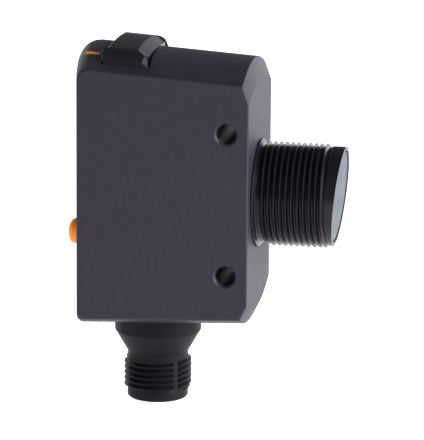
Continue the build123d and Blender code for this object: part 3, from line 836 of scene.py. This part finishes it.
def rounded_open(points, radii, steps):
    """An open line with some corners replaced by arcs. Doubled points are dropped."""
    line = [Vector(points[0])]
    for index in range(1, len(points) - 1):
        if radii[index] > 0:
            line += corner_arc(*points[index - 1:index + 2], radii[index], 0.9, steps)
        else:
            line.append(Vector(points[index]))
    line.append(Vector(points[-1]))
    ordered = [line[0]]
    for point in line[1:]:
        if (point - ordered[-1]).length > 1e-6:
            ordered.append(point)
    return ordered


# ---------------------------------------------------------------- threads
def thread_tree():
    """Geometry Nodes tree of a closed threaded sleeve about X, with run-out at both ends.

    A grid is bent into a tube. Its rows follow the helix: four to a turn, at both edges of the crest
    and at both feet of its flanks.
    """
    tree = bpy.data.node_groups.new("threaded_sleeve", "GeometryNodeTree")
    tree.interface.new_socket("Geometry", in_out="OUTPUT", socket_type="NodeSocketGeometry")
    names = ["Crest Radius", "Root Radius", "Bore Radius", "Pitch", "Land", "Start", "End"]
    for name in names + ["Segments", "Flat Angle", "Flat Half Width"]:
        tree.interface.new_socket(name, in_out="INPUT", socket_type="NodeSocketFloat")
    tree.interface.new_socket("Material", in_out="INPUT", socket_type="NodeSocketMaterial")
    given = add(tree, "NodeGroupInput", {}, {}).outputs
    value = {name: given[name] for name in names + ["Segments", "Flat Angle", "Flat Half Width"]}
    value["tan 30"] = math.tan(math.radians(30))
    place = add(tree, "GeometryNodeInputPosition", {}, {})
    split = add(tree, "ShaderNodeSeparateXYZ", {}, {0: place.outputs[0]})
    value["across"], value["down"] = split.outputs["X"], split.outputs["Y"]
    steps = [
        ("length", "SUBTRACT", "End", "Start"),
        ("turns", "DIVIDE", "length", "Pitch"),
        ("whole turns", "CEIL", "turns", 0),
        ("rows", "MULTIPLY_ADD", "whole turns", 4, 13),
        ("last row", "SUBTRACT", "rows", 1),
        ("columns", "ADD", "Segments", 1),
        ("u", "ADD", "across", 0.5),
        ("angle", "MULTIPLY", "u", 2 * math.pi),
        ("down share", "ADD", "down", 0.5),
        ("row place", "MULTIPLY", "down share", "last row"),
        ("row", "ROUND", "row place", 0),
        ("thread row", "SUBTRACT", "row", 2),
        ("quarter", "DIVIDE", "thread row", 4),
        ("turn", "FLOOR", "quarter", 0),
        ("kind", "MULTIPLY_ADD", "turn", -4, "thread row"),
        ("depth", "SUBTRACT", "Crest Radius", "Root Radius"),
        ("flank", "MULTIPLY", "depth", "tan 30"),
        ("past foot", "GREATER_THAN", "kind", 0.5),
        ("past crest", "GREATER_THAN", "kind", 1.5),
        ("past flank", "GREATER_THAN", "kind", 2.5),
        ("shift 1", "MULTIPLY", "past foot", "flank"),
        ("shift 2", "MULTIPLY_ADD", "past crest", "Land", "shift 1"),
        ("shift 3", "MULTIPLY_ADD", "past flank", "flank", "shift 2"),
        ("turns done", "ADD", "turn", "u"),
        ("turns less one", "SUBTRACT", "turns done", 1),
        ("helix", "MULTIPLY_ADD", "turns less one", "Pitch", "shift 3"),
        ("along free", "ADD", "helix", "Start"),
        ("along low", "MAXIMUM", "along free", "Start"),
        ("along", "MINIMUM", "along low", "End"),
        ("on crest", "SUBTRACT", "past foot", "past flank"),
        ("from start", "SUBTRACT", "along", "Start"),
        ("from end", "SUBTRACT", "End", "along"),
        ("nearest end", "MINIMUM", "from start", "from end"),
        ("run-out", "MULTIPLY", "Pitch", 0.6),
        ("run-out place", "DIVIDE", "nearest end", "run-out"),
        ("run-out share", "MINIMUM", "run-out place", 1),
        ("angle from flat", "SUBTRACT", "angle", "Flat Angle"),
        ("cosine from flat", "COSINE", "angle from flat", 0),
        ("flat turn", "DIVIDE", "Flat Half Width", "Crest Radius"),
        ("cosine of flat", "COSINE", "flat turn", 0),
        ("flat edge", "ADD", "cosine of flat", 1e-6),
        ("off the flat", "LESS_THAN", "cosine from flat", "flat edge"),
        ("share 1", "MULTIPLY", "on crest", "run-out share"),
        ("share 2", "MULTIPLY", "share 1", "off the flat"),
        ("outside", "MULTIPLY_ADD", "depth", "share 2", "Root Radius"),
        ("inner limit", "SUBTRACT", "last row", 1.5),
        ("after thread", "GREATER_THAN", "row", "inner limit"),
        ("before thread", "LESS_THAN", "row", 0.5),
        ("inside", "MAXIMUM", "after thread", "before thread"),
        ("inward", "SUBTRACT", "Bore Radius", "outside"),
        ("radius", "MULTIPLY_ADD", "inside", "inward", "outside"),
        ("close limit", "SUBTRACT", "last row", 0.5),
        ("closing", "GREATER_THAN", "row", "close limit"),
        ("back to start", "SUBTRACT", "Start", "along"),
        ("x", "MULTIPLY_ADD", "closing", "back to start", "along"),
        ("cosine", "COSINE", "angle", 0),
        ("sine", "SINE", "angle", 0),
        ("y", "MULTIPLY", "radius", "cosine"),
        ("z", "MULTIPLY", "radius", "sine"),
    ]
    for name, operation, *terms in steps:
        inputs = {index: value.get(term, term) for index, term in enumerate(terms)}
        value[name] = add(tree, "ShaderNodeMath", {"operation": operation}, inputs).outputs[0]
    counts = {"Vertices X": value["columns"], "Vertices Y": value["rows"], "Size X": 1.0, "Size Y": 1.0}
    sheet = add(tree, "GeometryNodeMeshGrid", {}, counts).outputs["Mesh"]
    point = add(tree, "ShaderNodeCombineXYZ", {}, {axis: value[axis.lower()] for axis in "XYZ"})
    bent = add(tree, "GeometryNodeSetPosition", {}, {"Geometry": sheet, "Position": point.outputs[0]})
    joined = add(tree, "GeometryNodeMergeByDistance", {}, {"Geometry": bent.outputs[0], "Distance": 2e-7})
    solid = add(tree, "GeometryNodeRealizeInstances", {}, {"Geometry": joined.outputs[0]})
    painted = {"Geometry": solid.outputs[0], "Material": given["Material"]}
    finished = add(tree, "GeometryNodeSetMaterial", {}, painted)
    add(tree, "NodeGroupOutput", {}, {"Geometry": finished.outputs[0]})
    return tree


def threaded_sleeve(name, material, settings):
    """A plain mesh of a threaded sleeve about X."""
    tree = bpy.data.node_groups.get("threaded_sleeve") or thread_tree()
    piece = new_object(name, bpy.data.meshes.new(name))
    modifier = piece.modifiers.new("Thread", "NODES")
    modifier.node_group = tree
    for item in tree.interface.items_tree:
        if item.in_out == "INPUT" and item.name in settings:
            modifier[item.identifier] = float(settings[item.name])
        if item.in_out == "INPUT" and item.name == "Material":
            modifier[item.identifier] = material
    bake_modifiers(piece)
    tidy_mesh(piece.data, 5e-7)
    return piece


def thread_settings(crest, start, end, flat_angle=0.0, flat=0.0):
    """Inputs of the threaded sleeve for one thread."""
    t = sizes().thread
    return {
        "Crest Radius": crest, "Root Radius": crest - t.depth, "Bore Radius": crest - 1.4 * t.depth,
        "Pitch": t.pitch, "Land": t.land, "Start": start, "End": end, "Segments": t.segments,
        "Flat Angle": flat_angle, "Flat Half Width": flat / 2,
    }


# ---------------------------------------------------------------- nozzle, window, connector, button
def softened(points, radius, steps=4):
    """A closed profile with all its corners rounded alike."""
    line = rounded_outline([Vector(p) for p in points], [radius] * len(points), steps)
    return [(p.x, p.y) for p in line]


def tilt_end(mesh):
    """Leans the nozzle's end, as its slanted window does.

    What is inside the wall leans fully, and the outside leans more and more towards the tip.
    """
    rate = math.tan(NOZZLE_SLANT)
    band = FRONT_X + sizes().thread.nozzle_end
    full = FRONT_X + 13.8 * MM
    inner_radius = 8 * MM
    for vertex in mesh.vertices:
        x, y, z = vertex.co
        share = min(1.0, max(0.0, (x - band) / (full - band)))
        if x > band - MM and math.hypot(y, z) < inner_radius:
            share = 1.0
        vertex.co.x = x + rate * z * share
    mesh.update()


def build_nozzle():
    """Threaded tube with a collar, a plain end band and a slanted end."""
    t = sizes().thread
    material = satin_pbt()
    root = NOZZLE_CREST - t.depth
    start, end = FRONT_X + t.nozzle_start, FRONT_X + t.nozzle_end
    thread = threaded_sleeve("nozzle_thread", material, thread_settings(NOZZLE_CREST, start, end))
    smooth(thread.data, THREAD_CREASE)
    finish_piece(thread, BODY, ["threaded_nozzle"], material)
    collar = nozzle_high.y
    bore, seat, band = 6.9 * MM, 7.86 * MM, 8.5 * MM
    core = root - 0.1 * MM
    inner, collar_back = FRONT_X - 1.4 * MM, FRONT_X - 0.3 * MM
    collar_front, collar_foot = FRONT_X + 0.4 * MM, FRONT_X + 0.55 * MM
    band_back = end - 0.05 * MM
    tip = FRONT_X + NOZZLE_LENGTH
    seat_floor = tip - 2.1 * MM
    profile = [(inner, bore), (inner, core), (collar_back, core), (collar_back, collar)]
    profile += [(collar_front, collar), (collar_foot, root + 0.1 * MM), (FRONT_X + 1.0 * MM, core)]
    profile += [(band_back, core), (band_back, band), (tip, band), (tip, seat)]
    profile += [(seat_floor, seat), (seat_floor, bore)]
    mesh = turned("nozzle_tube", softened(profile, 0.09 * MM), "X", steps=160)
    tilt_end(mesh)
    tube = new_object("nozzle_tube", mesh)
    smooth(tube.data, BODY_CREASE)
    weigh_normals(tube)
    return finish_piece(tube, BODY, ["threaded_nozzle"], material)


def build_window():
    """Slightly domed pane seated in the nozzle's slanted end."""
    radius, thickness, rim, dome = 7.8 * MM, 1.2 * MM, 0.2 * MM, 0.12 * MM
    face = FRONT_X + NOZZLE_LENGTH - 0.15 * MM
    flat = radius - rim
    profile = [(face - thickness, 0), (face - thickness, radius), (face - rim, radius), (face, flat)]
    for step in range(1, 9):
        share = 1 - step / 8
        profile.append((face + dome * (1 - share**2), flat * share))
    mesh = turned("front_pane", profile, "X", steps=160, closed=False)
    tilt_end(mesh)
    pane = new_object("front_pane", mesh)
    smooth(mesh, 30.0)
    return finish_piece(pane, BODY, ["front_window"], coated_pane())


def build_connector():
    """Connector shell: flange, cone, neck, thread with its flat, end band and open socket."""
    t = sizes().thread
    # The connector's finish carries painted shade in its colour.
    material = matt_pbt_painted_shade()
    root = CONNECTOR_CREST - t.depth
    turn = math.pi / 2 - t.flat_angle
    settings = thread_settings(CONNECTOR_CREST, 29.7 * MM, 35.6 * MM, turn, t.connector_flat)
    thread = threaded_sleeve("connector_thread", material, settings)
    upright = Matrix.Rotation(math.pi / 2, 4, "Y")
    thread.data.transform(Matrix.Translation((CONNECTOR_X, 0, 0)) @ upright)
    smooth(thread.data, THREAD_CREASE)
    finish_piece(thread, BODY, ["connector_shell"], material)
    flange = 7.5 * MM
    low = -connector_low.z
    core = root - 0.02 * MM
    rim = 0.25 * MM
    top, flange_foot, cone_foot, neck_foot = 21.0 * MM, 24.9 * MM, 28.8 * MM, 29.8 * MM
    profile = [(top, SOCKET_RADIUS), (top, flange), (flange_foot, flange), (cone_foot, root)]
    profile += [(neck_foot, root), (29.85 * MM, core), (35.5 * MM, core), (35.55 * MM, root)]
    profile += [(low - rim, root), (low, root - rim), (low, SOCKET_RADIUS)]
    mesh = turned("connector_body", softened(profile, 0.12 * MM), "-Z", (CONNECTOR_X, 0, 0), 144)
    shell = new_object("connector_body", mesh)
    smooth(shell.data, BODY_CREASE)
    weigh_normals(shell)
    return finish_piece(shell, BODY, ["connector_shell"], material)


def build_contacts():
    """Four round contacts with domed tips, and the insulator that holds them."""
    radius, circle = 0.5 * MM, 2.8 * MM
    tip = pins_low.z
    face = -carrier_low.z
    inner = -(carrier_low.z + 2 * MM)
    outline = [(inner, 0), (inner, radius)]
    for step in range(7):
        angle = math.pi / 2 * step / 6
        outline.append((-tip - radius * (1 - math.sin(angle)), radius * math.cos(angle)))
    parts = bmesh.new()
    for index in range(4):
        angle = math.pi / 2 * (index + 0.5)
        origin = (CONNECTOR_X + circle * math.cos(angle), circle * math.sin(angle), 0)
        parts.from_mesh(turned("contact", outline, "-Z", origin, 32, closed=False))
    mesh = bpy.data.meshes.new("contact_set")
    parts.to_mesh(mesh)
    parts.free()
    contacts = new_object("contact_set", mesh)
    smooth(mesh, BODY_CREASE)
    finish_piece(contacts, BODY, ["contact_pins"], gold_plate())
    edge, dimple = 4.24 * MM, face - 0.4 * MM
    profile = [(face - 1 * MM, 0), (face - 1 * MM, edge), (face - 0.2 * MM, edge), (face, 4.0 * MM)]
    profile += [(face, 1.0 * MM), (dimple, 0.9 * MM), (dimple, 0)]
    disc = turned("contact_insulator", profile, "-Z", (CONNECTOR_X, 0, 0), 96, False)
    insulator = new_object("contact_insulator", disc)
    smooth(insulator.data, 35.0)
    return finish_piece(insulator, BODY, ["contact_carrier"], black_insulator())


def build_button():
    """Domed push button in the rear cover."""
    radius, lip, stem, dome_depth = 2.2 * MM, 3.0 * MM, 1.2 * MM, 1.1 * MM
    tip, inner = button_low.x, button_high.x
    lip_back, lip_front = inner - 1.6 * MM, inner - 0.8 * MM
    points = []
    for step in range(13):
        angle = math.pi / 2 * step / 12
        points.append((tip + dome_depth * (1 - math.cos(angle)), radius * math.sin(angle) ** 0.8))
    points += [(lip_back, radius), (lip_back, lip), (lip_front, lip)]
    points += [(lip_front, stem), (inner, stem), (inner, 0)]
    mesh = turned("button_cap", points, "X", (0, 0, BUTTON_Z), 96, closed=False)
    cap = new_object("button_cap", mesh)
    smooth(mesh, BODY_CREASE)
    return finish_piece(cap, BUTTON, ["teach_button"], orange_acetal())


def build_plate():
    """The blank plate below the button."""
    plate = new_object("blank_plate", rounded_plate("blank_plate", plate_low, plate_high, 0.6 * MM))
    smooth(plate.data, BODY_CREASE)
    return finish_piece(plate, BODY, ["rear_plate"], label_film())


def rounded_plate(name, low, high, corner):
    """A thin plate facing the rear, with round corners and a softened rim."""
    ring = [(low.y, low.z), (low.y, high.z), (high.y, high.z), (high.y, low.z)]
    outlines = []
    rim = 0.06 * MM
    for x, drop in ((low.x, rim), (low.x + rim, 0.0), (high.x, 0.0)):
        inner = [(y + (drop if y == low.y else -drop), z + (drop if z == low.z else -drop)) for y, z in ring]
        outlines.append([Vector((x, p.x, p.y)) for p in rounded_outline(inner, [corner] * 4)])
    return lofted(name, outlines)


def finish_packed_nodes():
    """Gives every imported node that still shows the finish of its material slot."""
    made = {}
    slots = {row["node"]: row["material_slot"] for row in frame["record"]["subparts"]}
    for name, piece in frame["nodes"].items():
        slot = slots[name]
        if slot not in made:
            made[slot] = SLOT_FINISHES[slot]()
        piece.data.materials.clear()
        piece.data.materials.append(made[slot])
    frame["nodes"]["index_mark"].data.materials[0] = pad_print()


# ---------------------------------------------------------------- stage
def soft_light(name, place, target, width, height, watts, colour=(1, 1, 1)):
    """A rectangular soft box that points at the target."""
    lamp = bpy.data.lights.new(name, "AREA")
    lamp.shape = "RECTANGLE"
    lamp.size, lamp.size_y = width, height
    lamp.energy = watts * sizes().stage.light_scale
    lamp.color = colour
    holder = bpy.data.objects.new(name, lamp)
    bpy.context.scene.collection.objects.link(holder)
    holder.location = place
    holder.rotation_mode = "QUATERNION"
    holder.rotation_quaternion = (Vector(target) - Vector(place)).to_track_quat("-Z", "Y")


def build_stage():
    """Pale floor, soft lights and the camera."""
    stage = sizes().stage
    scene = bpy.context.scene
    scene.view_settings.view_transform = "Standard"
    side = 6.0
    z = cad_low.z
    mesh = bpy.data.meshes.new("floor")
    corners = [(-side, -side, z), (side, -side, z), (side, side, z), (-side, side, z)]
    mesh.from_pydata(corners, [], [[0, 1, 2, 3]])
    floor = new_object("floor", mesh)
    paper = bpy.data.materials.new("matt_paper")
    paper.use_nodes = True
    tree = paper.node_tree
    tree.nodes.clear()
    inputs = {"Base Color": tuple(stage.floor), "Roughness": 0.9}
    inputs.update({"Emission Color": (1, 1, 1, 1), "Emission Strength": 0.92, "Specular IOR Level": 0.0})
    shader = add(tree, "ShaderNodeBsdfPrincipled", {}, inputs)
    add(tree, "ShaderNodeOutputMaterial", {}, {"Surface": shader.outputs["BSDF"]})
    mesh.materials.append(paper)
    world = bpy.data.worlds.new("studio")
    scene.world = world
    world.use_nodes = True
    world.node_tree.nodes["Background"].inputs["Color"].default_value = (0.93, 0.95, 1.0, 1.0)
    world.node_tree.nodes["Background"].inputs["Strength"].default_value = 0.12
    target = (-0.01, 0, 0)
    soft_light("key_box", (0.55, -0.12, 0.12), target, 0.35, 0.5, 10.0)
    soft_light("left_box", (-0.5, -0.3, 0.02), target, 0.3, 0.5, 1.5, (0.93, 0.94, 1.0))
    soft_light("front_fill", (0.1, -0.7, 0.35), target, 0.6, 0.4, 0.15)
    soft_light("rear_box", (-0.45, 0.5, 0.25), target, 0.4, 0.5, 1.5)
    soft_light("rim_box", (0.22, 0.7, 0.11), target, 0.5, 0.2, 1.2)
    azimuth, elevation, roll = math.radians(10.419), math.radians(13.521), 0.008674
    level = math.cos(elevation)
    back = Vector((math.sin(azimuth) * level, -math.cos(azimuth) * level, math.sin(elevation)))
    right = Vector((math.cos(azimuth), math.sin(azimuth), 0))
    up = back.cross(right)
    turn = Matrix((right + roll * up, up - roll * right, back)).transposed()
    data = bpy.data.cameras.new("camera")
    data.lens = stage.lens
    data.sensor_width = 36.0
    data.clip_start, data.clip_end = 0.01, 20.0
    camera = bpy.data.objects.new("camera", data)
    scene.collection.objects.link(camera)
    camera.location = (0.09247, -0.52663, 0.12348)
    camera.rotation_euler = turn.to_euler()
    scene.camera = camera


# ---------------------------------------------------------------- operators
class PieceBuilder:
    """What the operators share: each calls its builders in turn."""

    builders = ()

    def execute(self, context):
        for build in self.builders:
            build()
        return {"FINISHED"}


class SENSOR_OT_housing(PieceBuilder, bpy.types.Operator):
    """Build the housing and the rear cover"""

    bl_idname = "sensor.housing"
    bl_label = "Housing"
    builders = (build_housing, build_cover)


class SENSOR_OT_strip(PieceBuilder, bpy.types.Operator):
    """Build the indicator strip"""

    bl_idname = "sensor.strip"
    bl_label = "Indicator strip"
    builders = (build_strip,)


class SENSOR_OT_nozzle(PieceBuilder, bpy.types.Operator):
    """Build the threaded nozzle and its window"""

    bl_idname = "sensor.nozzle"
    bl_label = "Nozzle"
    builders = (build_nozzle, build_window)


class SENSOR_OT_connector(PieceBuilder, bpy.types.Operator):
    """Build the plug connector and its contacts"""

    bl_idname = "sensor.connector"
    bl_label = "Connector"
    builders = (build_connector, build_contacts)


class SENSOR_OT_button(PieceBuilder, bpy.types.Operator):
    """Build the push button and the blank plate"""

    bl_idname = "sensor.button"
    bl_label = "Button and plate"
    builders = (build_button, build_plate)


class SENSOR_OT_inner(PieceBuilder, bpy.types.Operator):
    """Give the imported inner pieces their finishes"""

    bl_idname = "sensor.inner"
    bl_label = "Inner pieces"
    builders = (finish_packed_nodes,)


class SENSOR_OT_stage(PieceBuilder, bpy.types.Operator):
    """Build the floor, the lights and the camera"""

    bl_idname = "sensor.stage"
    bl_label = "Stage"
    builders = (build_stage,)


OPERATORS = [
    SENSOR_OT_inner, SENSOR_OT_housing, SENSOR_OT_strip, SENSOR_OT_nozzle,
    SENSOR_OT_connector, SENSOR_OT_button, SENSOR_OT_stage,
]


class SENSOR_PT_pieces(bpy.types.Panel):
    """Sidebar panel that lists the sensor's pieces"""

    bl_label = "Photoelectric sensor"
    bl_space_type = "VIEW_3D"
    bl_region_type = "UI"
    bl_category = "Sensor"

    def draw(self, context):
        for operator in OPERATORS:
            self.layout.operator(operator.bl_idname)
        for group in ("shell", "strip", "thread", "colours", "stage"):
            box = self.layout.box()
            properties = getattr(context.scene.sensor, group)
            for name in properties.__annotations__:
                box.prop(properties, name)


GROUPS = [SensorShellSizes, SensorStripSizes, SensorThreadSizes, SensorColours, SensorStage, SensorProperties]


def register():
    """Registers the classes and the scene's properties."""
    for item in GROUPS + OPERATORS + [SENSOR_PT_pieces]:
        bpy.utils.register_class(item)
    bpy.types.Scene.sensor = PointerProperty(type=SensorProperties)


def unregister():
    """Removes the scene's properties and the classes."""
    del bpy.types.Scene.sensor
    for item in reversed(GROUPS + OPERATORS + [SENSOR_PT_pieces]):
        bpy.utils.unregister_class(item)


def main():
    """Builds every piece in order."""
    register()
    bpy.ops.sensor.inner()
    bpy.ops.sensor.housing()
    bpy.ops.sensor.strip()
    bpy.ops.sensor.nozzle()
    bpy.ops.sensor.connector()
    bpy.ops.sensor.button()
    bpy.ops.sensor.stage()


if __name__ == "__main__":
    main()
